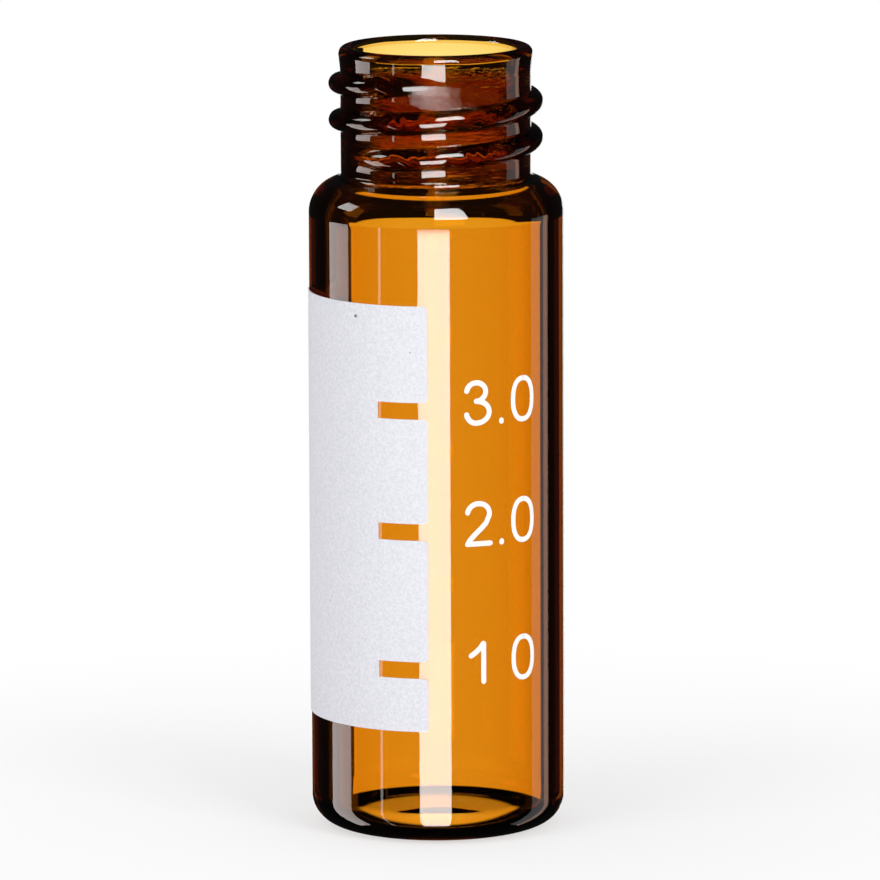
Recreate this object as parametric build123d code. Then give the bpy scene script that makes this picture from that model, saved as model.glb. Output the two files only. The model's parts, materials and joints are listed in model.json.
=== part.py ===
from build123d import *
import math
import os

# A screw-neck sample vial of amber tubing glass, standing on its base.
# The origin is the centre of the base, and +Z runs up through the mouth.

# Body: a plain tube
height = 45.5
body_diameter = 14.75
body_wall = 0.97

# Base: a rounded heel, a flat bearing ring and a shallow push-up inside the ring
heel_radius = 1.7
ring_inner_diameter = 9.6
push_up_height = 0.1

# Floor of the inside: a low crown that rolls up into the wall
floor_thickness = 0.65
floor_crown = 0.15
floor_corner_radius = 1.3

# Shoulder: an outward round, then a small hollow at the root of the neck. Inside, the round
# starts lower by the drop, because the glass gathers there.
shoulder_radius = 2.0
inner_shoulder_radius = 1.6
inner_shoulder_drop = 0.3
root_radius = 0.35
inner_root_radius = 2.4

# Neck and fire-polished lip
neck_height = 7.62
neck_diameter = 11.0
bore_diameter = 9.4
lip_diameter = 11.22
lip_flare_height = 1.0

# Thread: one rounded right-hand bead that rises out of the neck and sinks back in
thread_pitch = 2.117
thread_diameter = 12.38
thread_bead_width = 1.26
thread_bead_depth = 1.42
thread_depth_below_lip = 1.58
thread_top_angle = 280.0
thread_sweep = 800.0
thread_run_out = 60.0
thread_end_cover = 0.1
thread_points_per_turn = 18

# Write-on patch: a thin coat of enamel with three notches as filling marks
patch_thickness = 0.05
patch_bottom = 6.7
patch_height = 24.7
patch_width = 14.0
patch_edge_angle = -94.2
mark_heights = (10.29, 18.33, 25.35)
mark_thickness = 0.97
mark_length = 2.96

body_radius = body_diameter / 2
inner_radius = body_radius - body_wall
neck_radius = neck_diameter / 2
bore_radius = bore_diameter / 2


def crown_arc(crest, edge_radius, edge_height):
    """Low crown on the axis as an arc, from crest down to a point at edge_radius."""
    rise = crest - edge_height
    radius = (edge_radius**2 + rise**2) / (2 * rise)
    turn = math.degrees(math.asin(edge_radius / radius))
    return CenterArc((0, crest - radius), radius, 90, -turn)


def floor_arcs(crest, bottom, wall_radius, corner):
    """Crown of the floor and the corner that rolls up from it into the wall.

    The two arcs share a tangent. The corner has its lowest point at bottom, and it ends on
    the wall.
    """
    corner_centre = wall_radius - corner
    rise = crest - bottom
    centre_gap = (corner_centre**2 + rise**2) / (2 * rise)
    turn = math.degrees(math.asin(corner_centre / centre_gap))
    crown_radius = centre_gap - corner
    crown = CenterArc((0, crest - crown_radius), crown_radius, 90, -turn)
    roll = CenterArc((corner_centre, bottom + corner), corner, 270 - turn, 90 + turn)
    return crown, roll


def shoulder_arcs(tube_radius, round_radius, bore, root, start_height):
    """Round of a shoulder and the hollow it runs into, as two arcs that share a tangent.

    The round starts on the tube at start_height, and the hollow ends on the bore.
    """
    round_centre = tube_radius - round_radius
    root_centre = bore + root
    across = root_centre - round_centre
    up = math.sqrt((round_radius + root) ** 2 - across**2)
    turn = math.degrees(math.atan2(up, across))
    round_arc = CenterArc((round_centre, start_height), round_radius, 0, turn)
    hollow = CenterArc((root_centre, start_height + up), root, 180 + turn, -turn)
    return round_arc, hollow


def wall_section():
    """Half section of the glass, from the push-up round by the lip to the floor."""
    body_top = height - neck_height - shoulder_radius
    push_up = crown_arc(push_up_height, ring_inner_diameter / 2, 0)
    heel = CenterArc((body_radius - heel_radius, heel_radius), heel_radius, 270, 90)
    shoulder, root = shoulder_arcs(
        body_radius, shoulder_radius, neck_radius, root_radius, body_top
    )
    lip_radius = (lip_diameter - bore_diameter) / 4
    lip_height = height - lip_radius
    lip = CenterArc((bore_radius + lip_radius, lip_height), lip_radius, 0, 180)
    flare_start = (neck_radius, lip_height - lip_flare_height)
    inner_top = body_top - inner_shoulder_drop
    inner_shoulder, inner_root = shoulder_arcs(
        inner_radius, inner_shoulder_radius, bore_radius, inner_root_radius, inner_top
    )
    floor_crest = push_up_height + floor_thickness
    floor, corner = floor_arcs(
        floor_crest, floor_crest - floor_crown, inner_radius, floor_corner_radius
    )
    return make_face(
        [
            push_up,
            Line(push_up @ 1, heel @ 0),
            heel,
            Line(heel @ 1, shoulder @ 0),
            shoulder,
            root,
            Line(root @ 1, flare_start),
            Line(flare_start, lip @ 0),
            lip,
            Line(lip @ 1, inner_root @ 1),
            inner_root,
            inner_shoulder,
            Line(inner_shoulder @ 0, corner @ 1),
            corner,
            floor,
            Line(floor @ 0, push_up @ 0),
        ]
    )


def thread_point(angle):
    """Point on the centre line of the bead, which sinks into the neck wall at both ends."""
    raised = (thread_diameter - thread_bead_depth) / 2
    sunk = neck_radius - thread_bead_depth / 2 - thread_end_cover
    from_end = min(thread_top_angle - angle, angle - (thread_top_angle - thread_sweep))
    share = min(1.0, from_end / thread_run_out)
    ease = share * share * (3 - 2 * share)
    radius = sunk + (raised - sunk) * ease
    turn = math.radians(angle)
    drop = (thread_top_angle - angle) / 360 * thread_pitch
    top = height - thread_depth_below_lip
    return Vector(radius * math.cos(turn), radius * math.sin(turn), top - drop)


def thread_bead():
    """The thread alone, trimmed to start inside the neck wall."""
    count = round(thread_sweep / 360 * thread_points_per_turn)
    bottom_angle = thread_top_angle - thread_sweep
    points = [thread_point(bottom_angle + thread_sweep * i / count) for i in range(count + 1)]
    path = Spline(*points)
    start = path @ 0
    outward = Vector(start.X, start.Y, 0)
    plane = Plane(origin=start, x_dir=outward, z_dir=path % 0)
    section = plane * Ellipse(thread_bead_depth / 2, thread_bead_width / 2)
    bead = sweep(section, path=path, is_frenet=True)
    wall_middle = (neck_radius + bore_radius) / 2
    return bead - Pos(Z=height / 2) * Cylinder(wall_middle, height)


def glass_body():
    """The blown and threaded glass, one piece."""
    tube = revolve(Plane.XZ * wall_section(), axis=Axis.Z)
    return tube + thread_bead()


def coat(bottom, tall, wide, edge_angle):
    """Curved rectangle of enamel on the tube, running clockwise from edge_angle."""
    turn = math.degrees(wide / body_radius)
    middle = (body_radius + patch_thickness / 2, bottom + tall / 2)
    section = Plane.XZ * Pos(*middle) * Rectangle(patch_thickness, tall)
    return Rot(Z=edge_angle - turn) * revolve(section, axis=Axis.Z, revolution_arc=turn)


def write_on_patch():
    """Enamel patch whose right-hand border is notched at each filling mark."""
    patch = coat(patch_bottom, patch_height, patch_width, patch_edge_angle)
    for mark in mark_heights:
        patch -= coat(mark - mark_thickness / 2, mark_thickness, mark_length, patch_edge_angle)
    return patch


os.makedirs("parts", exist_ok=True)
export_step(glass_body(), "parts/glass_body.step")
export_step(write_on_patch(), "parts/write_on_patch.step")
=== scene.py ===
import json
import logging
import math
from dataclasses import dataclass, field
from enum import Enum
from typing import Any

import bmesh
import bpy
import numpy as np
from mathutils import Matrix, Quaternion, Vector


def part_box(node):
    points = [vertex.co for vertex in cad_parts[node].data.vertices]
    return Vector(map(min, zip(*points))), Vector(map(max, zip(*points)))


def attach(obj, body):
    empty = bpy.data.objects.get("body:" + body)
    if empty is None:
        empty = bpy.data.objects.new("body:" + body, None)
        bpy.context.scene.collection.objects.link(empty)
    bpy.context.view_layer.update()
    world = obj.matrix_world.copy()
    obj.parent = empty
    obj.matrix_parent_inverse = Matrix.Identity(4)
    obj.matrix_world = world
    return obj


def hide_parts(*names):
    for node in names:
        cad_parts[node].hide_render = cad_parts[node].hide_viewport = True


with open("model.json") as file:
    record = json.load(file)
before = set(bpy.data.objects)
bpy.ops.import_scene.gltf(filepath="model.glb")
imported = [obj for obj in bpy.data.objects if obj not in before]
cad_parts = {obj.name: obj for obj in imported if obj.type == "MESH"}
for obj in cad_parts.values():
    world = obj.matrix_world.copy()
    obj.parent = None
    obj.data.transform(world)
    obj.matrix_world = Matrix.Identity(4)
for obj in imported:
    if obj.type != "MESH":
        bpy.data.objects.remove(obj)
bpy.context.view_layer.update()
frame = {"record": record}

MM = 0.001
LOG = logging.getLogger("sample_vial")

Tree = bpy.types.NodeTree
Source = bpy.types.Node | bpy.types.NodeSocket
Pair = tuple[float, float]
Place = tuple[float, float, float]
Colour = tuple[float, float, float, float]


def hex_to_linear(code: str) -> Colour:
    """Turn an sRGB hex colour into a linear RGBA colour, by the curve of the sRGB standard.

    Args:
        code: six hex digits, such as "d98500".

    Returns:
        The linear red, green and blue, and an alpha of 1.
    """
    values = [int(code[i : i + 2], 16) / 255 for i in (0, 2, 4)]
    linear = [v / 12.92 if v <= 0.04045 else ((v + 0.055) / 1.055) ** 2.4 for v in values]
    return (linear[0], linear[1], linear[2], 1.0)


def add_node(tree: Tree, kind: str, inputs: dict | None = None, **settings: Any) -> bpy.types.Node:
    """Add one node with its settings and links.

    Args:
        tree: the node tree that gets the node.
        kind: the node's type name.
        inputs: input name or index to a value, to the output that feeds it, or to a node
            whose first enabled output feeds it.
        **settings: properties set on the node itself.

    Returns:
        The new node.
    """
    node = tree.nodes.new(kind)
    for name, value in settings.items():
        setattr(node, name, value)
    for key, value in (inputs or {}).items():
        if isinstance(value, bpy.types.Node):
            value = next(output for output in value.outputs if output.enabled)
        socket = node.inputs[key]
        if isinstance(value, bpy.types.NodeSocket):
            tree.links.new(value, socket)
        else:
            socket.default_value = value
    return node


def distance_ramp(distance: Source, none: float, full: float) -> dict[int, Any]:
    """Inputs of a map range that turns a distance into 0 at none and 1 at full, both in mm."""
    low, high = sorted((none * MM, full * MM))
    return {0: distance, 1: low, 2: high, 3: float(none > full), 4: float(full > none)}


def empty_material(name: str) -> bpy.types.Material:
    """Make a material whose node tree is empty.

    Args:
        name: the material's name.

    Returns:
        The new material.
    """
    material = bpy.data.materials.new(name)
    material.use_nodes = True
    material.node_tree.nodes.clear()
    return material


def arc(centre: Pair, radius: float, start: float, end: float, count: int) -> np.ndarray:
    """Points of an arc in a half section: centre plus radius times (cos, sin) of the angle.

    Args:
        centre: distance from the axis and height of the arc's centre, in mm.
        radius: the arc's radius in mm.
        start: first angle in degrees.
        end: last angle in degrees.
        count: number of points.

    Returns:
        An array of count rows with the distance from the axis and the height.
    """
    angle = np.radians(np.linspace(start, end, count))
    return np.column_stack([centre[0] + radius * np.cos(angle), centre[1] + radius * np.sin(angle)])


def line(start: Pair, end: Pair, count: int, close: float = 0.04) -> np.ndarray:
    """Evenly spaced points of a straight run without its two ends: start plus share times length.

    Args:
        start: first end of the run, in mm.
        end: last end of the run, in mm.
        count: number of evenly spaced points.
        close: distance in mm of a further point from each end, which keeps the smooth shading
            of the rounds beyond off the run, or 0 for no such point.

    Returns:
        The points as rows of two values.
    """
    start, end = np.asarray(start), np.asarray(end)
    share = np.linspace(0, 1, count + 2)[1:-1]
    if close:
        near = close / np.hypot(*(end - start))
        share = np.concatenate([[near], share, [1 - near]])
    return (1 - share[:, None]) * start + share[:, None] * end


def mesh_object(name: str, points: np.ndarray, faces: list, smooth: bool = True) -> bpy.types.Object:
    """Make an object at the origin from points in millimetres.

    Args:
        name: the object's name.
        points: vertex positions, one row each, in mm.
        faces: vertex indices of each face.
        smooth: whether its faces are shaded smooth.

    Returns:
        The new object, linked to the scene.
    """
    mesh = bpy.data.meshes.new(name)
    mesh.from_pydata(points * MM, [], faces)
    mesh.polygons.foreach_set("use_smooth", np.full(len(mesh.polygons), smooth))
    mesh.validate()
    mesh.update()
    piece = bpy.data.objects.new(name, mesh)
    bpy.context.scene.collection.objects.link(piece)
    return piece


def ring_faces(rows: int, columns: int) -> np.ndarray:
    """Quads between rows of points that each close on themselves.

    Args:
        rows: number of rows.
        columns: number of points in a row.

    Returns:
        An array of four indices for each quad.
    """
    index = np.arange(rows * columns).reshape(rows, columns)
    after = np.roll(index, -1, axis=1)
    return np.stack([index[:-1], after[:-1], after[1:], index[1:]], axis=-1).reshape(-1, 4)


def fan_faces(centre: int, ring: np.ndarray) -> np.ndarray:
    """Triangles from one point to each side of a closed ring, in the ring's own direction."""
    return np.column_stack([np.full(len(ring), centre), ring, np.roll(ring, -1)])


@dataclass(frozen=True)
class NeckMarksAndPaintedShade:
    """Marks that forming the neck left in the glass: a rippled bore and a rough patch in front.

    The ripples are noise that is stretched round the axis, with a finer grain on it, and end above on a
    slant; they bend the light that passes through the bore. The same mask also paints shade into the bore:
    its glass is tinted from white toward a red-brown, more strongly along some ripples, so the bore looks
    darker and redder. Lengths, radii and heights are in mm.
    """

    full_radius: float = 5.25
    none_radius: float = 5.35
    low: float = 37.2
    high: float = 44.3
    tilt: float = 0.15
    edge: float = 0.5
    stretch: float = 7.0
    ripple_length: float = 2.4
    depth: float = 0.14
    grain_length: float = 0.5
    grain_share: float = 0.16
    # Painted shade: the bore's glass is tinted toward this red-brown, which makes it look darker and
    # redder.
    tint: str = "b04416"
    painted_shade_range: Pair = (0.38, 0.6)
    painted_shade_least: float = 0.84
    patch_centre: Place = (0.9, -5.3, 43.0)
    patch_reach: Place = (3.0, 2.2, 0.85)
    patch_edge: Pair = (0.7, 1.1)
    patch_grain: float = 0.08
    patch_share: float = 0.2

    def mask(self, tree: Tree, place: Source) -> Source:
        """Where the ripples and the painted shade are: a limit of the radius times a lower and a slanted
        upper end.

        Args:
            tree: the material's node tree.
            place: the object coordinates.

        Returns:
            A share of 1 on the wall of the bore and 0 on the outside, the lip and the tube.
        """
        flat = add_node(tree, "ShaderNodeVectorMath", {0: place, 1: (1.0, 1.0, 0.0)}, operation="MULTIPLY")
        away = add_node(tree, "ShaderNodeVectorMath", {0: flat}, operation="LENGTH")
        parts = add_node(tree, "ShaderNodeSeparateXYZ", {0: place})
        rise = parts.outputs["Z"]
        terms = {0: parts.outputs["Y"], 1: self.tilt, 2: rise}
        slanted = add_node(tree, "ShaderNodeMath", terms, operation="MULTIPLY_ADD")
        ramps = (
            distance_ramp(away, self.none_radius, self.full_radius),
            distance_ramp(rise, self.low, self.low + self.edge),
            distance_ramp(slanted, self.high, self.high - self.edge),
        )
        share = 1.0
        for ramp in ramps:
            step = add_node(tree, "ShaderNodeMapRange", ramp, interpolation_type="SMOOTHSTEP")
            share = add_node(tree, "ShaderNodeMath", {0: share, 1: step}, operation="MULTIPLY")
        return share

    def rough_patch(self, tree: Tree, place: Source, height: Source) -> Source:
        """Add the grain of the rough patch on the neck's front to a height.

        The patch is an ellipsoid with a soft edge, so it takes in both faces of the wall.

        Args:
            tree: the material's node tree.
            place: the object coordinates.
            height: the height that the grain is added to.

        Returns:
            The sum of the two heights.
        """
        centre = tuple(part * MM for part in self.patch_centre)
        reach = tuple(1 / (part * MM) for part in self.patch_reach)
        core, rim = self.patch_edge
        offset = add_node(tree, "ShaderNodeVectorMath", {0: place, 1: centre}, operation="SUBTRACT")
        scaled = add_node(tree, "ShaderNodeVectorMath", {0: offset, 1: reach}, operation="MULTIPLY")
        away = add_node(tree, "ShaderNodeVectorMath", {0: scaled}, operation="LENGTH")
        inside = add_node(
            tree,
            "ShaderNodeMapRange",
            {0: away, 1: core, 2: rim, 3: self.patch_share, 4: 0.0},
            interpolation_type="SMOOTHSTEP",
        )
        scale = 1 / (self.patch_grain * MM)
        grain = add_node(tree, "ShaderNodeTexNoise", {"Vector": place, "Scale": scale, "Detail": 1.0})
        terms = {0: grain, 1: inside, 2: height}
        return add_node(tree, "ShaderNodeMath", terms, operation="MULTIPLY_ADD")

    def build(self, tree: Tree) -> tuple[Source, Source]:
        """Make the painted shade tint of the bore and the normal that the marks give the surface.

        Args:
            tree: the material's node tree.

        Returns:
            The painted shade tint and the normal.
        """
        place = add_node(tree, "ShaderNodeTexCoord").outputs["Object"]
        mask = self.mask(tree, place)
        factors = {0: place, 1: (1.0, 1.0, self.stretch)}
        stretched = add_node(tree, "ShaderNodeVectorMath", factors, operation="MULTIPLY")
        noise = {"Vector": stretched, "Scale": 1 / (self.ripple_length * MM), "Detail": 2.0}
        ripple = add_node(tree, "ShaderNodeTexNoise", noise)
        noise = {"Vector": stretched, "Scale": 1 / (self.grain_length * MM), "Detail": 1.0}
        grain = add_node(tree, "ShaderNodeTexNoise", noise)
        terms = {0: grain, 1: self.grain_share, 2: ripple}
        height = add_node(tree, "ShaderNodeMath", terms, operation="MULTIPLY_ADD")
        marks = add_node(tree, "ShaderNodeMath", {0: height, 1: mask}, operation="MULTIPLY")
        total = self.rough_patch(tree, place, marks)
        bump = add_node(
            tree, "ShaderNodeBump", {"Height": total, "Strength": 1.0, "Distance": self.depth * MM}
        )
        # Painted shade: a share of the red-brown, following the ripples within the mask, tints the bore's
        # glass.
        low, high = self.painted_shade_range
        painted_shade_amount = add_node(
            tree, "ShaderNodeMapRange", {0: ripple, 1: low, 2: high, 3: self.painted_shade_least, 4: 1.0}
        )
        share = add_node(tree, "ShaderNodeMath", {0: mask, 1: painted_shade_amount}, operation="MULTIPLY")
        parts = {"Factor": share, "A": hex_to_linear("ffffff"), "B": hex_to_linear(self.tint)}
        return add_node(tree, "ShaderNodeMix", parts, data_type="RGBA"), bump


@dataclass(frozen=True)
class AmberGlass:
    """Amber tubing glass, drawn and fire polished, so it is clear and smooth but for the neck.

    Iron and sulphur in the melt take out the blue and most of the green over the thickness
    of a wall, so one wall looks straw yellow, two look amber and a long way through is red.
    A channel's absorption per metre is the full absorption times its share that isn't kept.
    """

    ior: float = 1.52
    roughness: float = 0.0
    kept_colour: Colour = (0.93, 0.72, 0.02, 1.0)
    absorption: float = 2700.0
    marks: NeckMarksAndPaintedShade = NeckMarksAndPaintedShade()

    def material(self) -> bpy.types.Material:
        """Build the material: a clear refracting surface, tinted with painted shade in the bore, round an
        absorbing volume.

        Returns:
            The new material.
        """
        material = empty_material("amber_tubing_glass")
        tree = material.node_tree
        # The tint is painted shade, which darkens and reddens the bore.
        tint, normal = self.marks.build(tree)
        surface = add_node(
            tree,
            "ShaderNodeBsdfPrincipled",
            {
                "Base Color": tint,
                "Roughness": self.roughness,
                "IOR": self.ior,
                "Transmission Weight": 1.0,
                "Normal": normal,
            },
        )
        volume = add_node(
            tree, "ShaderNodeVolumeAbsorption", {"Color": self.kept_colour, "Density": self.absorption}
        )
        add_node(tree, "ShaderNodeOutputMaterial", {"Surface": surface, "Volume": volume})
        return material


@dataclass(frozen=True)
class Speck:
    """One dark speck on the front: distance from the front line, height and radius in mm."""

    x: float
    z: float
    radius: float
    darkness: float


@dataclass(frozen=True)
class FiredEnamel:
    """Screen-printed glass enamel fired on the tube, matt and slightly chalky to take a pencil.

    The pigment gives a fine speckle, and a few dark specks are dirt from the kiln.
    """

    name: str
    colour: str
    shade: str
    roughness: float
    speckle_mm: float = 0.16
    speckle_range: Pair = (0.36, 0.64)
    grain_strength: float = 0.25
    grain_depth_mm: float = 0.01
    speck_colour: str = "2a2220"
    specks: tuple[Speck, ...] = ()

    def lay_speck(self, tree: Tree, place: Source, colour: Source, speck: Speck) -> Source:
        """Lay one dark speck over a colour.

        Args:
            tree: the material's node tree.
            place: the object coordinates.
            colour: the colour under the speck.
            speck: the speck.

        Returns:
            The colour with the speck.
        """
        flat = add_node(tree, "ShaderNodeVectorMath", {0: place, 1: (1.0, 0.0, 1.0)}, operation="MULTIPLY")
        centre = (speck.x * MM, 0.0, speck.z * MM)
        away = add_node(tree, "ShaderNodeVectorMath", {0: flat, 1: centre}, operation="DISTANCE")
        radius = speck.radius * MM
        amount = add_node(
            tree, "ShaderNodeMapRange", {0: away, 1: radius / 2, 2: radius, 3: speck.darkness, 4: 0.0}
        )
        parts = {"Factor": amount, "A": colour, "B": hex_to_linear(self.speck_colour)}
        return add_node(tree, "ShaderNodeMix", parts, data_type="RGBA")

    def material(self) -> bpy.types.Material:
        """Build the material: speckled colour, dark specks and a fine grain in the bump.

        Returns:
            The new material.
        """
        material = empty_material(self.name)
        tree = material.node_tree
        place = add_node(tree, "ShaderNodeTexCoord").outputs["Object"]
        scale = 1 / (self.speckle_mm * MM)
        noise = {"Vector": place, "Scale": scale, "Detail": 3.0, "Roughness": 0.6}
        speckle = add_node(tree, "ShaderNodeTexNoise", noise)
        low, high = self.speckle_range
        spread = add_node(tree, "ShaderNodeMapRange", {0: speckle, 1: low, 2: high, 3: 0.0, 4: 1.0})
        parts = {"Factor": spread, "A": hex_to_linear(self.shade), "B": hex_to_linear(self.colour)}
        finish = add_node(tree, "ShaderNodeMix", parts, data_type="RGBA")
        for speck in self.specks:
            finish = self.lay_speck(tree, place, finish, speck)
        depth = self.grain_depth_mm * MM
        grain = {"Height": speckle, "Strength": self.grain_strength, "Distance": depth}
        bump = add_node(tree, "ShaderNodeBump", grain)
        look = {"Base Color": finish, "Roughness": self.roughness, "Normal": bump}
        surface = add_node(tree, "ShaderNodeBsdfPrincipled", look)
        add_node(tree, "ShaderNodeOutputMaterial", {"Surface": surface})
        return material


@dataclass
class Thread:
    """One rounded right-hand bead round the neck that sinks back into it at both ends.

    Lengths are in mm and angles in degrees.
    """

    pitch: float = 2.117
    crest_radius: float = 6.19
    width: float = 1.26
    depth: float = 1.42
    top_below_lip: float = 1.58
    top_angle: float = 280.0
    sweep: float = 800.0
    run_out: float = 60.0
    end_cover: float = 0.1
    root_blend: float = 0.12

    def raise_neck(self, neck: np.ndarray, angle: np.ndarray, rise: np.ndarray, lip: float) -> np.ndarray:
        """Distance from the axis of the neck's outside with the bead on it.

        At each turn the bead is an ellipse about a helix, whose radius eases inward over the
        run-out. The result is the smooth maximum of neck and bead, which rounds the corner
        where the bead meets the neck: half of a + b + sqrt((a - b)^2 + blend^2).

        Args:
            neck: radius of the plain neck at each point, in mm.
            angle: angle round the axis at each point, in degrees.
            rise: height of each point, in mm.
            lip: height of the lip's crest, in mm.

        Returns:
            The radius at each point, in mm.
        """
        bottom_angle = self.top_angle - self.sweep
        raised = self.crest_radius - self.depth / 2
        sunk = neck.min() - self.depth / 2 - self.end_cover
        bead = np.full(neck.shape, sunk)
        first = math.floor(bottom_angle / 360)
        last = math.floor(self.top_angle / 360)
        for turn in range(first, last + 1):
            along = angle + 360 * turn
            from_end = np.minimum(self.top_angle - along, along - bottom_angle)
            share = np.clip(from_end / self.run_out, 0, 1)
            centre = sunk + (raised - sunk) * share * share * (3 - 2 * share)
            height = lip - self.top_below_lip - (self.top_angle - along) / 360 * self.pitch
            offset = np.abs(rise - height) / (self.width / 2)
            crown = np.sqrt(np.clip(1 - offset**2, 0, 1)) * self.depth / 2
            fall = np.clip(offset - 1, 0, None) * self.width
            bead = np.where(from_end > 0, np.maximum(bead, centre + crown - fall), bead)
        return (neck + bead + np.sqrt((neck - bead) ** 2 + self.root_blend**2)) / 2


@dataclass(frozen=True)
class RowCounts:
    """Number of evenly spaced points on each stretch of the glass's half section."""

    push_up: int = 40
    ring: int = 2
    heel: int = 20
    tube: int = 8
    shoulder: int = 22
    neck: int = 128
    flare: int = 20
    lip: int = 28
    bore: int = 6
    inner_shoulder: int = 18
    inner_tube: int = 8
    corner: int = 26
    crown: int = 16


@dataclass
class GlassBody:
    """The glass of the vial: base, tube, shoulder, threaded neck and rounded lip, in one skin.

    All sizes are in mm. The seal is a shallow dimple under the base, where the tube was closed.
    """

    body_radius: float
    height: float
    bore_radius: float
    wall: float = 0.97
    heel_radius: float = 1.7
    ring_radius: float = 4.8
    push_up: float = 0.1
    seal_centre: Pair = (0.0, -2.1)
    seal_radius: float = 2.9
    seal_depth: float = 0.2
    floor_thickness: float = 0.65
    floor_crown: float = 0.15
    floor_corner: float = 1.3
    shoulder_radius: float = 2.0
    inner_shoulder_radius: float = 1.6
    inner_shoulder_drop: float = 0.3
    root_radius: float = 0.35
    inner_root_radius: float = 2.4
    neck_height: float = 7.62
    neck_radius: float = 5.5
    lip_outer_radius: float = 5.61
    flare_height: float = 1.0
    columns: int = 240
    rows: RowCounts = RowCounts()
    thread: Thread = field(default_factory=Thread)

    def floor(self) -> np.ndarray:
        """Floor of the inside, from the wall down the corner and up the low crown to the axis.

        The crown is a circle on the axis that touches the circle of the corner, so the
        distance between the centres is the sum of the radii.

        Returns:
            Points of the half section from the wall to the axis, without the one on the axis.
        """
        reach = self.body_radius - self.wall - self.floor_corner
        crest = self.push_up + self.floor_thickness
        gap = (reach**2 + self.floor_crown**2) / (2 * self.floor_crown)
        crown_radius = gap - self.floor_corner
        turn = math.degrees(math.asin(reach / gap))
        bottom = crest - self.floor_crown
        corner_centre = (reach, bottom + self.floor_corner)
        roll = arc(corner_centre, self.floor_corner, 360, 270 - turn, self.rows.corner)
        crown = arc((0, crest - crown_radius), crown_radius, 90 - turn, 90, self.rows.crown)[1:-1]
        return np.vstack([roll, crown])

    def shoulder(
        self, start: float, tube: float, rounding: float, neck: float, root: float, count: int
    ) -> np.ndarray:
        """Round of a shoulder and the hollow at the neck's root, which share a tangent.

        Args:
            start: height where the round leaves the tube, in mm.
            tube: radius of the tube below, in mm.
            rounding: radius of the round, in mm.
            neck: radius of the neck above, in mm.
            root: radius of the hollow, in mm.
            count: number of points on each arc.

        Returns:
            Points from the tube up to the neck.
        """
        across = neck + root - (tube - rounding)
        up = math.sqrt((rounding + root) ** 2 - across**2)
        turn = math.degrees(math.atan2(up, across))
        outside = arc((tube - rounding, start), rounding, 0, turn, count)
        hollow = arc((neck + root, start + up), root, 180 + turn, 180, count)
        return np.vstack([outside, hollow[1:]])

    def outside(self) -> tuple[np.ndarray, np.ndarray]:
        """Half section of the outside: arcs that share tangents, joined by straight runs.

        Returns:
            Points from the push-up to the neck's root, and points of the neck up to the lip.
        """
        rows = self.rows
        rise = self.push_up
        push_radius = (self.ring_radius**2 + rise**2) / (2 * rise)
        turn = math.degrees(math.asin(self.ring_radius / push_radius))
        push_up = arc((0, rise - push_radius), push_radius, 90, 90 - turn, rows.push_up)[1:]
        heel_centre = (self.body_radius - self.heel_radius, self.heel_radius)
        heel = arc(heel_centre, self.heel_radius, 270, 360, rows.heel)
        start = self.height - self.neck_height - self.shoulder_radius
        shoulder = self.shoulder(
            start,
            self.body_radius,
            self.shoulder_radius,
            self.neck_radius,
            self.root_radius,
            rows.shoulder,
        )
        ring = line(push_up[-1], heel[0], rows.ring)
        tube = line(heel[-1], shoulder[0], rows.tube)
        below = np.vstack([push_up, ring, heel, tube, shoulder])
        lip_radius = (self.lip_outer_radius - self.bore_radius) / 2
        flare_end = (self.lip_outer_radius, self.height - lip_radius)
        flare_start = (self.neck_radius, flare_end[1] - self.flare_height)
        plain = line(shoulder[-1], flare_start, rows.neck)
        flare = line(flare_start, flare_end, rows.flare)
        return below, np.vstack([plain, [flare_start], flare])

    def inside(self) -> np.ndarray:
        """Half section of the lip and the inside, made as the outside is.

        The bore's run has no points close to its ends, so its shading bends toward the rounds.

        Returns:
            Points from the lip's outer edge to the floor.
        """
        rows = self.rows
        lip_radius = (self.lip_outer_radius - self.bore_radius) / 2
        lip_centre = (self.bore_radius + lip_radius, self.height - lip_radius)
        lip = arc(lip_centre, lip_radius, 0, 180, rows.lip)
        tube = self.body_radius - self.wall
        start = self.height - self.neck_height - self.shoulder_radius - self.inner_shoulder_drop
        shoulder = self.shoulder(
            start,
            tube,
            self.inner_shoulder_radius,
            self.bore_radius,
            self.inner_root_radius,
            rows.inner_shoulder,
        )
        down = shoulder[::-1]
        floor = self.floor()
        bore = line(lip[-1], down[0], rows.bore, close=0.0)
        wall = line(down[-1], floor[0], rows.inner_tube)
        return np.vstack([lip, bore, down, wall, floor])

    def seal(self, x: np.ndarray, y: np.ndarray) -> np.ndarray:
        """Height that the seal adds under the base: a smooth step of the distance from its centre.

        Args:
            x: distance to the right of the axis at each point, in mm.
            y: distance behind the axis at each point, in mm.

        Returns:
            The height at each point, in mm.
        """
        away = np.hypot(x - self.seal_centre[0], y - self.seal_centre[1])
        inward = np.clip(1 - away / self.seal_radius, 0, 1)
        return self.seal_depth * inward * inward * (3 - 2 * inward)

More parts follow.
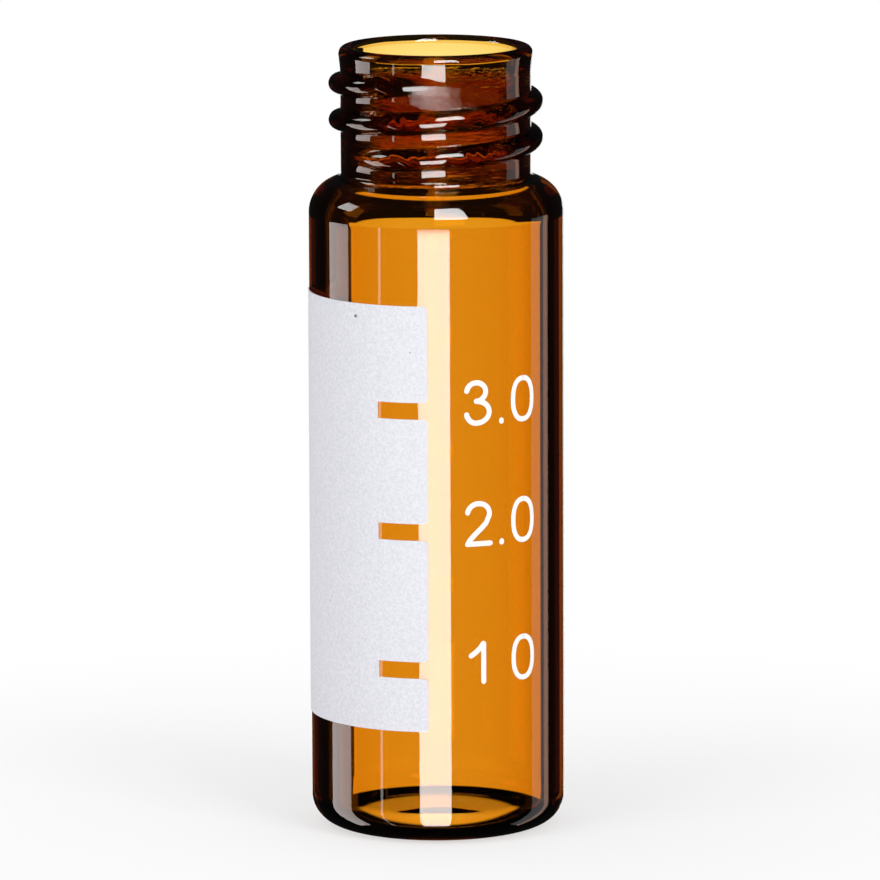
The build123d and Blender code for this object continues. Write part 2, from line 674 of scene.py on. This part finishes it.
    def build(self) -> bpy.types.Object:
        """Turn the half section round the axis, raise thread and seal, and close both poles.

        Each point is at radius times (cos, sin) of its angle and at its row's height.

        Returns:
            The finished skin as one object.
        """
        below, neck = self.outside()
        inside = self.inside()
        section = np.vstack([below, neck, inside])
        angle = np.linspace(0, 360, self.columns, endpoint=False)
        radius = np.repeat(section[:, :1], self.columns, axis=1)
        rise = np.repeat(section[:, 1:], self.columns, axis=1)
        on_neck = slice(len(below), len(below) + len(neck))
        around = np.broadcast_to(angle, radius[on_neck].shape)
        radius[on_neck] = self.thread.raise_neck(radius[on_neck], around, rise[on_neck], self.height)
        turn = np.radians(angle)
        x = radius * np.cos(turn)
        y = radius * np.sin(turn)
        under = slice(0, self.rows.push_up - 1)
        rise[under] += self.seal(x[under], y[under])
        skin = np.stack([x, y, rise], axis=-1).reshape(-1, 3)
        base = (0, 0, self.push_up + float(self.seal(np.zeros(1), np.zeros(1))[0]))
        floor = (0, 0, self.push_up + self.floor_thickness)
        points = np.vstack([skin, [base, floor]])
        count = len(section) * self.columns
        last_ring = np.arange(count - self.columns, count)
        faces = ring_faces(len(section), self.columns).tolist()
        faces += fan_faces(count, np.arange(self.columns)[::-1]).tolist()
        faces += fan_faces(count + 1, last_ring).tolist()
        return mesh_object("vial_glass", points, faces)


@dataclass
class WriteOnPatch:
    """The enamel patch: a thin coat on the tube, notched on its right-hand border.

    Lengths are in mm and angles in degrees.
    """

    radius: float
    outer_radius: float
    bottom: float
    top: float
    edge_angle: float = -94.2
    width: float = 14.0
    corner: float = 0.22
    corner_count: int = 8
    mark_heights: tuple[float, ...] = (10.29, 18.33, 25.35)
    mark_thickness: float = 0.97
    mark_length: float = 2.96
    sunk: float = 0.01
    strip: float = 0.25
    sharp_angle: float = 30.0

    def outline(self) -> np.ndarray:
        """Outline in arc length from the right-hand border and height, anticlockwise.

        The corners on the two borders are quarter circles, and those deep in a notch are
        sharp.

        Returns:
            Points of the closed outline.
        """
        half = self.mark_thickness / 2
        c = self.corner
        count = self.corner_count
        left = c - self.width
        deep = -self.mark_length
        edges = [self.bottom]
        for mark in self.mark_heights:
            edges += [mark - half, mark + half]
        edges.append(self.top)
        runs = [arc((left, self.bottom + c), c, 180, 270, count)]
        for low, high in zip(edges[::2], edges[1::2]):
            runs.append(arc((-c, low + c), c, 270, 360, count))
            runs.append(arc((-c, high - c), c, 0, 90, count))
            if high < self.top:
                runs.append(np.array([(deep, high), (deep, high + self.mark_thickness)]))
        runs.append(arc((left, self.top - c), c, 90, 180, count))
        return np.vstack(runs)

    def build(self) -> bpy.types.Object:
        """Cut the flat outline into narrow upright strips, wrap it on the tube and thicken it.

        Wrapping turns an arc length into an angle: the border's angle plus length over radius.

        Returns:
            The finished coat as one object.
        """
        outline = self.outline()
        flat = bpy.data.meshes.new("patch_outline")
        points = np.column_stack([outline, np.zeros(len(outline))])
        flat.from_pydata(points, [], [list(range(len(points)))])
        work = bmesh.new()
        work.from_mesh(flat)
        for cut in np.arange(-self.width + self.strip, 0, self.strip):
            geometry = work.verts[:] + work.edges[:] + work.faces[:]
            bmesh.ops.bisect_plane(work, geom=geometry, plane_co=(cut, 0, 0), plane_no=(1, 0, 0))
        work.to_mesh(flat)
        work.free()
        place = np.empty(len(flat.vertices) * 3)
        flat.vertices.foreach_get("co", place)
        place = place.reshape(-1, 3)
        turn = math.radians(self.edge_angle) + place[:, 0] / self.radius
        ring = self.outer_radius * np.column_stack([np.cos(turn), np.sin(turn)])
        wrapped = np.column_stack([ring, place[:, 1]]) * MM
        flat.vertices.foreach_set("co", wrapped.ravel())
        work = bmesh.new()
        work.from_mesh(flat)
        thickness = (self.outer_radius - self.radius + self.sunk) * MM
        bmesh.ops.recalc_face_normals(work, faces=work.faces[:])
        bmesh.ops.solidify(work, geom=work.faces[:], thickness=thickness)
        bmesh.ops.recalc_face_normals(work, faces=work.faces[:])
        mesh = bpy.data.meshes.new("write_on_enamel")
        work.to_mesh(mesh)
        work.free()
        bpy.data.meshes.remove(flat)
        mesh.polygons.foreach_set("use_smooth", np.full(len(mesh.polygons), True))
        mesh.set_sharp_from_angle(angle=math.radians(self.sharp_angle))
        piece = bpy.data.objects.new("write_on_enamel", mesh)
        bpy.context.scene.collection.objects.link(piece)
        return piece


class Glyph(Enum):
    """The printed characters beside the marks."""

    ZERO = "0"
    ONE = "1"
    TWO = "2"
    THREE = "3"
    POINT = "point"


@dataclass
class Numerals:
    """Printed numerals: round-ended strokes of white enamel that stand a little proud.

    Sizes are in mm. Each stroke of a character stands one layer above the one before, so that
    their crowns don't coincide where they cross.
    """

    radius: float
    stroke: float = 0.31
    proud: float = 0.03
    layer: float = 0.004
    sunk: float = 0.01
    below_mark: float = 0.89
    spacing: float = 0.05
    squareness: float = 0.86
    tip_share: float = 0.02
    along_count: int = 40
    cap_count: int = 6
    section_count: int = 16

    def bowl(self, centre: Pair, across: float, up: float, start: float, end: float) -> np.ndarray:
        """Part of an ellipse, as points with x = centre + across cos and z = centre + up sin."""
        angle = np.radians(np.linspace(start, end, self.along_count))
        return np.column_stack([centre[0] + across * np.cos(angle), centre[1] + up * np.sin(angle)])

    def strokes(self, glyph: Glyph) -> list[np.ndarray]:
        """Centre lines of one character's strokes, from its lower left corner.

        The zero is an ellipse whose cosine and sine are raised to the squareness, which
        fills its corners a little.

        Args:
            glyph: the character.

        Returns:
            The points of each stroke, in mm.
        """
        if glyph is Glyph.ZERO:
            turn = np.radians(np.linspace(90, 450, 2 * self.along_count))
            x = np.sign(np.cos(turn)) * np.abs(np.cos(turn)) ** self.squareness
            z = np.sign(np.sin(turn)) * np.abs(np.sin(turn)) ** self.squareness
            return [np.column_stack([0.87 + 0.72 * x, 1.34 + 1.19 * z])]
        if glyph is Glyph.ONE:
            flag = np.array([(0.15, 1.70), (0.42, 1.88), (0.66, 2.10), (0.88, 2.38)])
            return [flag, np.array([(0.9, 2.36), (0.9, 0.17)])]
        if glyph is Glyph.TWO:
            bowl = self.bowl((0.86, 1.92), 0.66, 0.58, 172, -22)
            leg = np.array([(1.30, 1.34), (0.98, 1.02), (0.6, 0.68), (0.32, 0.38), (0.2, 0.17)])
            return [np.vstack([bowl, leg]), np.array([(0.2, 0.17), (1.56, 0.17)])]
        if glyph is Glyph.THREE:
            bowl = self.bowl((0.74, 1.96), 0.57, 0.53, 172, -50)
            upper = np.vstack([bowl, [(0.94, 1.45), (0.74, 1.42)]])
            right = self.bowl((0.74, 0.785), 0.79, 0.635, 90, -90)
            left = self.bowl((0.74, 0.785), 0.59, 0.635, 270, 192)[1:]
            return [upper, np.vstack([right, left])]
        return [np.array([(0.0, 0.17), (0.0, 0.23)])]

    def even(self, path: np.ndarray) -> np.ndarray:
        """Points at an even spacing along a polyline, by linear interpolation of its length.

        Args:
            path: points of the polyline.

        Returns:
            The evenly spaced points, at least three.
        """
        steps = np.hypot(*np.diff(path, axis=0).T)
        length = np.concatenate([[0], np.cumsum(steps)])
        at = np.linspace(0, length[-1], max(3, round(length[-1] / self.spacing) + 1))
        return np.column_stack([np.interp(at, length, path[:, 0]), np.interp(at, length, path[:, 1])])

    def stroke_mesh(self, path: np.ndarray, lift: float) -> tuple[np.ndarray, np.ndarray]:
        """One stroke on the tube, as a ribbon with a domed section and round ends.

        The half-width is full along the path and falls as the cosine over a quarter turn at
        each end. Above the glass the section rises as the root of the sine, and below it is
        flat.

        Args:
            path: points of the centre line in arc length and height, in mm.
            lift: how far the stroke's crest stands above the glass, in mm.

        Returns:
            Points in mm and faces as indices.
        """
        path = self.even(path)
        ahead = np.gradient(path, axis=0)
        ahead /= np.hypot(ahead[:, 0], ahead[:, 1])[:, None]
        half = self.stroke / 2
        cap = np.radians(np.linspace(90, 0, self.cap_count, endpoint=False))
        start = path[0] - ahead[0] * half * np.sin(cap)[:, None]
        end = path[-1] + ahead[-1] * half * np.sin(cap[::-1])[:, None]
        centre = np.vstack([start, path, end])
        scale = np.concatenate([np.cos(cap), np.ones(len(path)), np.cos(cap[::-1])])
        scale = np.maximum(scale, self.tip_share)
        first = np.repeat(ahead[:1], self.cap_count, axis=0)
        last = np.repeat(ahead[-1:], self.cap_count, axis=0)
        ahead = np.vstack([first, ahead, last])
        side = np.column_stack([-ahead[:, 1], ahead[:, 0]])
        around = np.radians(np.linspace(0, 360, self.section_count, endpoint=False))
        reach = np.cos(around) * half
        crown = np.sin(around)
        # Both sides of the section lie on the glass itself.
        crown[:: self.section_count // 2] = 0.0
        above = np.where(crown < 0, -self.sunk, lift * np.sqrt(np.maximum(crown, 0)))
        flat = centre[:, None, :] + side[:, None, :] * reach[None, :, None] * scale[:, None, None]
        proud = np.broadcast_to(above, flat.shape[:2])
        turn = flat[:, :, 0] / self.radius
        away = self.radius + proud
        points = np.stack([away * np.cos(turn), away * np.sin(turn), flat[:, :, 1]], axis=-1)
        return points.reshape(-1, 3), ring_faces(len(centre), self.section_count)

    def build(self, name: str, glyphs: list[tuple[Glyph, float]], mark: float) -> bpy.types.Object:
        """Make one printed number.

        Args:
            name: the object's name.
            glyphs: each character with the arc length of its left side from the front line.
            mark: height of the middle of the filling mark beside it, in mm.

        Returns:
            One object with all the strokes of the number.
        """
        front = -math.pi / 2 * self.radius
        baseline = mark - self.below_mark
        side = self.section_count
        points: list[np.ndarray] = []
        faces: list[list[int]] = []
        count = 0
        for glyph, left in glyphs:
            for order, path in enumerate(self.strokes(glyph)):
                placed = path + np.array([front + left, baseline])
                stroke, quads = self.stroke_mesh(placed, self.proud + self.layer * order)
                after = count + len(stroke)
                faces += (quads + count).tolist()
                faces.append(list(range(count + side - 1, count - 1, -1)))
                faces.append(list(range(after - side, after)))
                points.append(stroke)
                count = after
        return mesh_object(name, np.vstack(points), faces)


@dataclass(frozen=True)
class LightPanel:
    """A soft light far from the vial, as a patch of the sky seen in glass.

    Azimuths are in degrees from +X, anticlockwise from above, so the front is at -90, and
    elevations are in degrees from the horizon.
    """

    azimuth: float
    half_width: float
    low: float
    high: float
    radiance: float
    tint: str = "ffffff"
    soft: float = 0.05

    def light(self, tree: Tree, direction: Source) -> Source:
        """Light of the panel in a direction.

        The panel is lit where the direction's horizontal part is within the half-width of
        its azimuth and its height is between low and high, with soft sides.

        Args:
            tree: the world's node tree.
            direction: the ray's direction.

        Returns:
            The panel's colour, or black beside it.
        """
        turn = math.radians(self.azimuth)
        middle = (math.cos(turn), math.sin(turn), 0.0)
        level = {0: direction, 1: (1.0, 1.0, 0.0)}
        flat = add_node(tree, "ShaderNodeVectorMath", level, operation="MULTIPLY")
        unit = add_node(tree, "ShaderNodeVectorMath", {0: flat}, operation="NORMALIZE")
        facing = add_node(tree, "ShaderNodeVectorMath", {0: unit, 1: middle}, operation="DOT_PRODUCT")
        height = add_node(tree, "ShaderNodeSeparateXYZ", {0: direction}).outputs["Z"]
        soft = self.soft
        aside = [math.cos(math.radians(self.half_width + part)) for part in (soft / 2, -soft / 2)]
        above = [math.sin(math.radians(self.low + part)) for part in (-soft, soft)]
        below = [math.sin(math.radians(self.high + part)) for part in (soft, -soft)]
        share = 1.0
        for value, ends in ((facing, aside), (height, above), (height, below)):
            limits = {0: value, 1: ends[0], 2: ends[1]}
            ramp = add_node(tree, "ShaderNodeMapRange", limits, interpolation_type="SMOOTHSTEP")
            share = add_node(tree, "ShaderNodeMath", {0: share, 1: ramp}, operation="MULTIPLY")
        colour = tuple(self.radiance * part for part in hex_to_linear(self.tint)[:3])
        return add_node(tree, "ShaderNodeVectorMath", {0: colour, 3: share}, operation="SCALE")


@dataclass(frozen=True)
class SoftLamp:
    """Square soft lamp that the glass doesn't show. Its place and side are in mm."""

    name: str
    place: Place
    size: float
    watts: float

    def build(self, aim_height: float) -> None:
        """Make the lamp and aim it at a point on the vial's axis.

        Args:
            aim_height: height of the point in mm.
        """
        data = bpy.data.lights.new(self.name, "AREA")
        data.size = self.size * MM
        data.energy = self.watts
        lamp = bpy.data.objects.new(self.name, data)
        where = np.array(self.place) * MM
        aim = np.array([0, 0, aim_height]) * MM - where
        flat = math.hypot(aim[0], aim[1])
        lamp.location = where
        lamp.rotation_euler = (math.atan2(flat, -aim[2]), 0, math.atan2(aim[1], aim[0]) - math.pi / 2)
        lamp.visible_camera = lamp.visible_glossy = lamp.visible_transmission = False
        bpy.context.scene.collection.objects.link(lamp)


@dataclass
class Studio:
    """Pale floor, soft lamps, and the bright panels and dark gaps that the glass shows.

    Lengths are in mm. The glass shows the panels of through where it is looked through, and
    those of mirrored where it reflects.
    """

    vial_height: float
    background: float = 1.0
    fill: float = 0.62
    inner_share: float = 0.3
    dark: float = 0.012
    floor_colour: str = "f7f7f7"
    floor_radius: float = 1200.0
    floor_sides: int = 96
    floor_gap: float = 0.02
    glow: float = 0.6
    glow_near: float = 12.0
    glow_far: float = 60.0
    # Painted light and shadow under the base, seen only through the glass: a glowing disc and a black ring
    # round it.
    painted_light_radius: float = 4.4
    painted_shadow_radius: float = 8.0
    near_soft: float = 0.5
    painted_light_radiance: float = 1.45
    # Back, its blue upper edge, right, left and front.
    through: tuple[LightPanel, ...] = (
        LightPanel(84.85, 13.85, -18, -3.5, 1.21),
        LightPanel(84.85, 13.85, -4.8, -3.5, 1.0, "599fff"),
        LightPanel(-5.15, 13.85, -18, -3.5, 1.21),
        LightPanel(174.85, 13.85, -18, -3.5, 1.21),
        LightPanel(-95.15, 13.85, -18, -3.5, 1.21),
    )
    # Front, front above, left, left above, a narrow one at the front left, right, its warm
    # rear edge, and back.
    mirrored: tuple[LightPanel, ...] = (
        LightPanel(-92.6, 14.35, -50, -8.2, 13.0),
        LightPanel(-76.0, 16.0, 21, 58, 15.0),
        LightPanel(170.2, 13.0, -50, -8.0, 4.4, "fff2ee"),
        LightPanel(170.2, 10.0, 22, 38, 6.0),
        LightPanel(-142.9, 1.3, -50, -8.0, 3.2),
        LightPanel(16.7, 11.9, -50, 0, 0.7),
        LightPanel(26.3, 4.0, -50, 0, 1.3, "ffb894"),
        LightPanel(84.85, 13.85, -18, -3.5, 1.3),
    )
    lamps: tuple[SoftLamp, ...] = (
        SoftLamp("lamp_front_right", (260, -330, 260), 220, 0.9),
        SoftLamp("lamp_front_left", (-280, -260, 320), 260, 0.6),
    )

    def sky(self, tree: Tree, panels: tuple[LightPanel, ...], direction: Source) -> Source:
        """Sum of the panels over a dark surround.

        Args:
            tree: the world's node tree.
            panels: the panels to sum.
            direction: the ray's direction.

        Returns:
            The colour of the light from that direction.
        """
        surround = {axis: self.dark for axis in range(3)}
        total = add_node(tree, "ShaderNodeCombineXYZ", surround)
        for panel in panels:
            terms = {0: total, 1: panel.light(tree, direction)}
            total = add_node(tree, "ShaderNodeVectorMath", terms, operation="ADD")
        return total

    def build_world(self) -> None:
        """White for the camera, an even fill for matt surfaces, and the panels for the glass.

        Reflections inside the glass get only their inner share of the mirrored panels. A
        depth counts a ray's bounces of one kind, so it is over a half from the first one on.
        """
        world = bpy.data.worlds.new("studio")
        bpy.context.scene.world = world
        world.use_nodes = True
        world.cycles.sampling_method = "NONE"
        tree = world.node_tree
        tree.nodes.clear()
        direction = add_node(tree, "ShaderNodeTexCoord").outputs["Generated"]
        path = add_node(tree, "ShaderNodeLightPath")
        reflected, within, scattered = (
            add_node(tree, "ShaderNodeMath", {0: path.outputs[depth], 1: 0.5}, operation="GREATER_THAN")
            for depth in ("Glossy Depth", "Transmission Depth", "Diffuse Depth")
        )
        terms = {0: within, 1: self.inner_share - 1, 2: 1.0}
        kept = add_node(tree, "ShaderNodeMath", terms, operation="MULTIPLY_ADD")
        reflection = {0: self.sky(tree, self.mirrored, direction), 3: kept}
        mirrored = add_node(tree, "ShaderNodeVectorMath", reflection, operation="SCALE")
        light = self.sky(tree, self.through, direction)
        layers = (
            (reflected, mirrored),
            (scattered, (self.fill,) * 3),
            (path.outputs["Is Camera Ray"], (self.background,) * 3),
        )
        for factor, layer in layers:
            mix = {"Factor": factor, "A": light, "B": layer}
            light = add_node(tree, "ShaderNodeMix", mix, data_type="VECTOR")
        shade = add_node(tree, "ShaderNodeBackground", {"Color": light, "Strength": 1.0})
        add_node(tree, "ShaderNodeOutputWorld", {"Surface": shade})

    def floor_material(self) -> bpy.types.Material:
        """Matt near the vial and glowing white far off.

        Through the glass it has painted light and shadow: a glowing disc under the base, a painted contact
        shadow as a black ring out to the cover's edge, and clear floor beyond it.

        Returns:
            The new material.
        """
        material = empty_material("pale_floor")
        tree = material.node_tree
        place = add_node(tree, "ShaderNodeTexCoord").outputs["Object"]
        away = add_node(tree, "ShaderNodeVectorMath", {0: place}, operation="LENGTH")
        path = add_node(tree, "ShaderNodeLightPath")
        ramps = (
            distance_ramp(away, self.glow_near, self.glow_far),
            distance_ramp(away, self.painted_light_radius + self.near_soft, self.painted_light_radius),
            distance_ramp(away, self.painted_shadow_radius + self.near_soft, self.painted_shadow_radius),
        )
        far, lit, painted_area = (
            add_node(tree, "ShaderNodeMapRange", ramp, interpolation_type="SMOOTHSTEP")
            for ramp in ramps
        )
        terms = {0: far, 1: 1 - self.glow, 2: self.glow}
        share = add_node(tree, "ShaderNodeMath", terms, operation="MULTIPLY_ADD")
        seen = {0: share, 1: path.outputs["Is Camera Ray"]}
        glowing = add_node(tree, "ShaderNodeMath", seen, operation="MULTIPLY")
        # Painted light: the disc under the base glows, and the ring round it is black as a painted shadow.
        near = add_node(tree, "ShaderNodeMath", {0: lit, 1: self.painted_light_radiance}, operation="MULTIPLY")
        white = hex_to_linear("ffffff")
        matt = add_node(tree, "ShaderNodeBsdfDiffuse", {"Color": hex_to_linear(self.floor_colour)})
        glow = add_node(tree, "ShaderNodeEmission", {"Color": white, "Strength": 1.0})
        disc = add_node(tree, "ShaderNodeEmission", {"Color": white, "Strength": near})
        clear = add_node(tree, "ShaderNodeBsdfTransparent")
        table = add_node(tree, "ShaderNodeMixShader", {0: glowing, 1: matt, 2: glow})
        # Inside the cover's edge the glass sees the painted disc and shadow ring, beyond it the clear
        # floor.
        under = add_node(tree, "ShaderNodeMixShader", {0: painted_area, 1: clear, 2: disc})
        views = {0: path.outputs["Is Transmission Ray"], 1: table, 2: under}
        both = add_node(tree, "ShaderNodeMixShader", views)
        add_node(tree, "ShaderNodeOutputMaterial", {"Surface": both})
        return material

    def build_floor(self) -> None:
        """Round pale floor that keeps the soft shadow near the vial and fades to white far off."""
        turn = np.linspace(0, 2 * math.pi, self.floor_sides, endpoint=False)
        rim = self.floor_radius * np.column_stack([np.cos(turn), np.sin(turn)])
        points = np.column_stack([rim, np.full(self.floor_sides, -self.floor_gap)])
        floor = mesh_object("studio_floor", points, [list(range(self.floor_sides))], smooth=False)
        floor.data.materials.append(self.floor_material())
        floor.visible_glossy = False

    def build(self) -> None:
        """Make the world, the floor and the lamps."""
        self.build_world()
        self.build_floor()
        for lamp in self.lamps:
            lamp.build(self.vial_height / 2)


@dataclass
class PhotoCamera:
    """Long-lens camera at the photograph's viewing angle, aimed just beside the vial.

    Its place is in mm, its angles are in degrees and its clipping range is in metres.
    """

    distance: float = 480.16
    height: float = 103.87
    pitch: float = 9.623
    yaw: float = 0.0197
    roll: float = -0.228
    lens: float = 343.73
    sensor_width: float = 36.0
    clip: Pair = (0.01, 10.0)

    def build(self) -> None:
        """Make the camera and give it to the scene."""
        data = bpy.data.cameras.new("photo_camera")
        data.lens = self.lens
        data.sensor_width = self.sensor_width
        data.clip_start, data.clip_end = self.clip
        camera = bpy.data.objects.new("photo_camera", data)
        camera.location = (0, -self.distance * MM, self.height * MM)
        level = math.radians(90 - self.pitch)
        turn = math.radians(-self.yaw)
        lean = math.radians(self.roll)
        camera.rotation_mode = "QUATERNION"
        aim = Quaternion((0, 0, 1), turn) @ Quaternion((1, 0, 0), level) @ Quaternion((0, 0, 1), lean)
        camera.rotation_quaternion = aim
        bpy.context.scene.collection.objects.link(camera)
        bpy.context.scene.camera = camera


def node_box(node: str) -> tuple[np.ndarray, np.ndarray]:
    """Lowest and highest corner of a frame node in mm."""
    low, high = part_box(node)
    return np.array(low) / MM, np.array(high) / MM


def mount_radius(name: str) -> float:
    """Radius in mm that the record gives for a round mount."""
    return next(m["dims"]["r_mm"] for m in frame["record"]["mounts"] if m["name"] == name)


def finish_piece(piece: bpy.types.Object, material: bpy.types.Material) -> None:
    """Give a piece its material and its body, and report it.

    Args:
        piece: the finished object.
        material: the finish of all its faces.
    """
    piece.data.materials.clear()
    piece.data.materials.append(material)
    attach(piece, "root")
    LOG.info("%s: %d faces", piece.name, len(piece.data.polygons))


def main() -> None:
    """Build the camera, the vial and the studio in order."""
    logging.basicConfig(level=logging.INFO, format="%(message)s")
    scene = bpy.context.scene
    scene.view_settings.view_transform = "Standard"
    scene.cycles.max_bounces = 24
    scene.cycles.glossy_bounces = 12
    scene.cycles.transmission_bounces = 24
    PhotoCamera().build()
    body_radius = mount_radius("rack_body")
    height = node_box("glass_body")[1][2]

    glass = GlassBody(body_radius, height, mount_radius("mouth")).build()
    finish_piece(glass, AmberGlass().material())
    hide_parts("glass_body")

    low, high = node_box("write_on_patch")
    patch = WriteOnPatch(body_radius, -low[0], low[2], high[2])
    coat = patch.build()
    specks = (
        Speck(-4.63, 30.65, 0.11, 0.85),
        Speck(-1.53, 28.73, 0.07, 0.45),
        Speck(-6.2, 13.8, 0.06, 0.35),
    )
    matt = FiredEnamel("matt_fired_enamel", "e6e6ec", "d8d8e0", 0.75, specks=specks)
    finish_piece(coat, matt.material())
    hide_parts("write_on_patch")

    print_white = FiredEnamel("printed_white_enamel", "ffffff", "f6f4f0", 0.45).material()
    numerals = Numerals(body_radius)
    # Each character with the arc length in mm from the front line to its left side.
    one, two, three = (Glyph.ONE, 1.78), (Glyph.TWO, 1.54), (Glyph.THREE, 1.54)
    point, zero = (Glyph.POINT, 3.85), (Glyph.ZERO, 4.5)
    numbers = ([one, zero], [two, point, zero], [three, point, zero])
    for order, (glyphs, mark) in enumerate(zip(numbers, patch.mark_heights), start=1):
        number = numerals.build(f"numeral_{order}", glyphs, mark)
        finish_piece(number, print_white)

    Studio(height).build()


if __name__ == "__main__":
    main()
